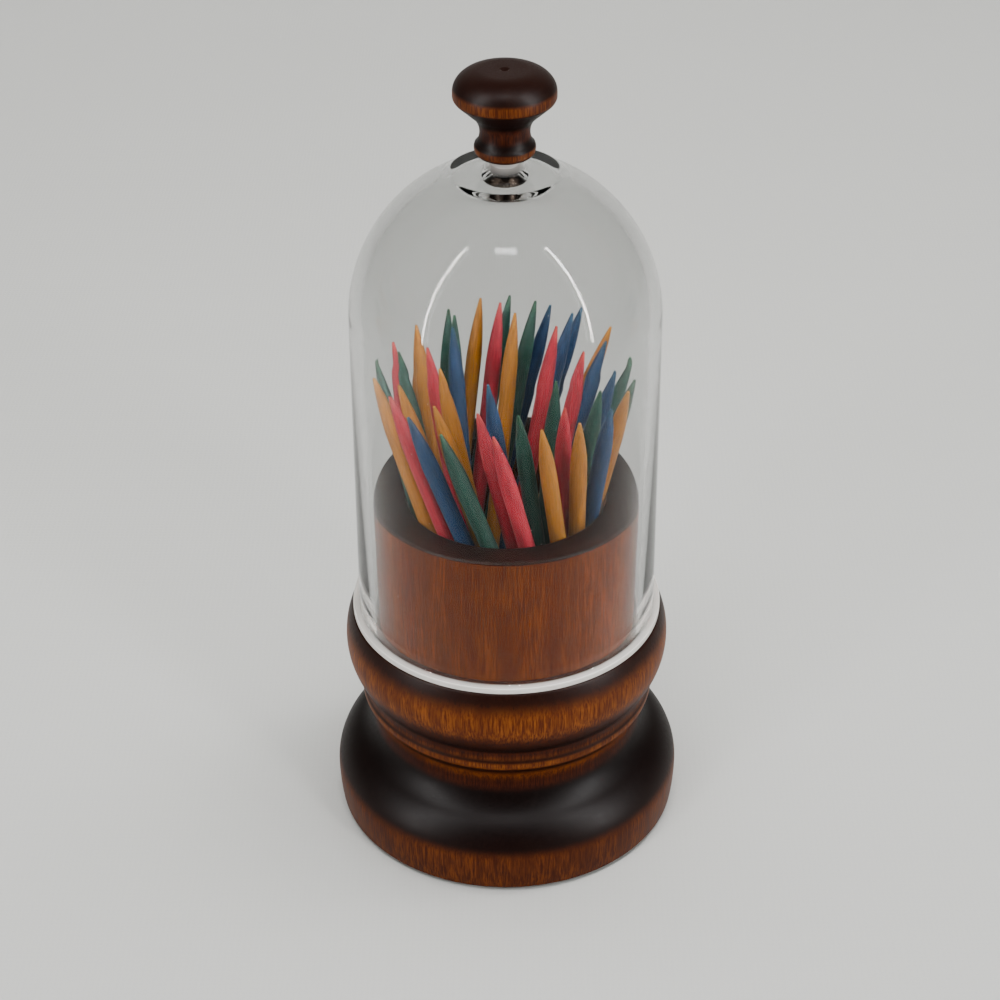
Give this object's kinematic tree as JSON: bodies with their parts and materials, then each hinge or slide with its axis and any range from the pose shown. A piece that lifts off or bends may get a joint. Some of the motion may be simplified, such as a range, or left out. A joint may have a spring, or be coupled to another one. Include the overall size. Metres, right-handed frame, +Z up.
{
  "type": "toothpick holder",
  "caption": "Turned wooden toothpick holder: a beaded round base with a deep cup full of dyed toothpicks, under a clear dome that lifts off by a small turned knob.",
  "frame": {"origin": "centre of the foot's resting face", "axes": "+Z up along the turning axis that the base, dome and knob share; -Y towards the viewer of the picture"},
  "size_m": [0.0452, 0.0452, 0.1028],
  "materials": {
    "turned_wood": "dark stained hardwood, turned smooth, semi-gloss varnish",
    "clear_plastic": "clear moulded plastic, glossy",
    "screw_steel": "dark bronzed steel",
    "toothpick_red": "pale round toothpick wood dyed pink-red, matt, paler at the points",
    "toothpick_yellow": "pale round toothpick wood dyed amber yellow, matt, paler at the points",
    "toothpick_blue": "pale round toothpick wood dyed blue, matt, paler at the points",
    "toothpick_green": "pale round toothpick wood dyed green, matt, paler at the points"
  },
  "bodies": {
    "base": {"base": "turned_wood", "toothpick_blue_01": "toothpick_blue", "toothpick_green_02": "toothpick_green", "toothpick_yellow_03": "toothpick_yellow", "toothpick_green_04": "toothpick_green", "toothpick_yellow_05": "toothpick_yellow", "toothpick_red_06": "toothpick_red", "toothpick_green_07": "toothpick_green", "toothpick_yellow_08": "toothpick_yellow", "toothpick_red_09": "toothpick_red", "toothpick_blue_10": "toothpick_blue", "toothpick_green_11": "toothpick_green", "toothpick_red_12": "toothpick_red", "toothpick_yellow_13": "toothpick_yellow", "toothpick_yellow_14": "toothpick_yellow", "toothpick_blue_15": "toothpick_blue", "toothpick_yellow_16": "toothpick_yellow", "toothpick_green_17": "toothpick_green", "toothpick_green_18": "toothpick_green", "toothpick_yellow_19": "toothpick_yellow", "toothpick_blue_20": "toothpick_blue", "toothpick_yellow_21": "toothpick_yellow", "toothpick_green_22": "toothpick_green", "toothpick_yellow_23": "toothpick_yellow", "toothpick_yellow_24": "toothpick_yellow", "toothpick_red_25": "toothpick_red", "toothpick_green_26": "toothpick_green", "toothpick_red_27": "toothpick_red", "toothpick_green_28": "toothpick_green", "toothpick_blue_29": "toothpick_blue", "toothpick_blue_30": "toothpick_blue", "toothpick_blue_31": "toothpick_blue", "toothpick_green_32": "toothpick_green", "toothpick_red_33": "toothpick_red", "toothpick_green_34": "toothpick_green", "toothpick_blue_35": "toothpick_blue", "toothpick_red_36": "toothpick_red", "toothpick_yellow_37": "toothpick_yellow", "toothpick_blue_38": "toothpick_blue", "toothpick_green_39": "toothpick_green", "toothpick_red_40": "toothpick_red", "toothpick_red_41": "toothpick_red", "toothpick_yellow_42": "toothpick_yellow"},
    "dome": {"dome": "clear_plastic"},
    "knob": {"knob": "turned_wood", "knob_screw": "screw_steel"}
  },
  "joints": [
    {"name": "dome_lift", "type": "slide", "parent": "base", "child": "dome", "axis": [0, 0, 1], "range_m": [0, 0.045]},
    {"name": "knob_turn", "type": "hinge", "parent": "dome", "child": "knob", "pos_m": [0, 0, 0.0926], "axis": [0, 0, 1], "continuous": true}
  ]
}
